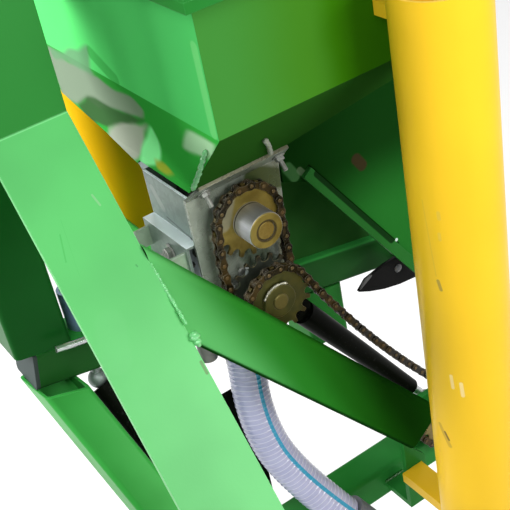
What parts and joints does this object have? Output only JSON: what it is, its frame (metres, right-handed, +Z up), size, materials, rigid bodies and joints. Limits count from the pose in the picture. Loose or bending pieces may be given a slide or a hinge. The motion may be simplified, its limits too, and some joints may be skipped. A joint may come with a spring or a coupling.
{
  "type": "potato planter chain-driven metering unit with hopper and frame corner",
  "caption": "Sheet-metal hopper over a galvanised metering box, driven by two roller chains, with the painted frame corner, feed hose and tubes around it.",
  "frame": {"origin": "centre of the leg's upper four-bolt pattern, on the back face of the leg's web", "axes": "+X along the drive's side plate, +Y away from the drive side, +Z up"},
  "size_m": [0.4607, 0.5135, 0.81],
  "materials": {
    "leg_green": "gloss",
    "dark_green": "gloss",
    "yellow": "gloss",
    "galvanised": "spangled satin",
    "bronze_plated": "satin",
    "steel": "satin",
    "chain_steel": "oiled",
    "black_paint": "gloss",
    "end_cap": "matte",
    "hose": "gloss",
    "roller_plastic": "matte"
  },
  "bodies": {
    "frame": {"back_panel": "dark_green", "beam_end_cap": "end_cap", "beam_socket": "galvanised", "brace": "dark_green", "control_rod": "galvanised", "cross_beam": "dark_green", "diagonal_tube": "dark_green", "drain_spout": "galvanised", "drive_bearing": "galvanised", "drive_chain": "chain_steel", "drive_shaft_plate": "dark_green", "end_bracket": "dark_green", "end_plate": "galvanised", "hanger": "dark_green", "hopper": "dark_green", "hopper_arm": "dark_green", "hose": "hose", "hose_cuff": "hose", "hose_guide": "black_paint", "hose_spout": "galvanised", "jackshaft_bearing": "galvanised", "left_tube": "yellow", "left_tube_bracket": "yellow", "leg": "leg_green", "lower_beam": "leg_green", "metering_box": "galvanised", "metering_chain": "chain_steel", "metering_front_bearing": "galvanised", "metering_rear_bearing": "galvanised", "panel_bar": "dark_green", "post": "leg_green", "right_tube": "yellow", "right_tube_low_bracket": "yellow", "right_tube_top_bracket": "yellow", "rod_ear": "dark_green", "second_strut": "black_paint", "side_cover": "black_paint", "side_plate": "galvanised", "side_rail": "leg_green", "slide_tabs": "galvanised", "strut_ball": "steel", "strut_body": "black_paint", "strut_lug": "dark_green", "strut_pin": "steel", "strut_rod": "steel", "support_web": "dark_green", "top_rail": "dark_green"},
    "metering_shaft_body": {"metering_shaft": "steel", "metering_sprocket": "bronze_plated", "feed_roller": "roller_plastic"},
    "jackshaft_body": {"jackshaft": "steel", "jackshaft_rear_sprocket": "bronze_plated", "jackshaft_front_sprocket": "bronze_plated"},
    "drive_shaft_body": {"drive_shaft": "steel", "drive_sprocket": "bronze_plated"}
  },
  "joints": [
    {"name": "metering_spin", "type": "hinge", "parent": "frame", "child": "metering_shaft_body", "pos_m": [0.16, 0.0315, -0.355], "axis": [0, 1, 0], "continuous": true, "deforming": ["metering_chain"]},
    {"name": "jackshaft_spin", "type": "hinge", "parent": "frame", "child": "jackshaft_body", "pos_m": [0.16, -0.021, -0.4312], "axis": [0, 1, 0], "continuous": true},
    {"name": "drive_spin", "type": "hinge", "parent": "frame", "child": "drive_shaft_body", "pos_m": [0.33754, -0.021, -0.69442], "axis": [0, 1, 0], "continuous": true, "deforming": ["drive_chain"]}
  ],
  "couplings": [
    {"joint": "jackshaft_spin", "follows": "metering_spin", "ratio": 1},
    {"joint": "drive_spin", "follows": "metering_spin", "ratio": 1}
  ]
}
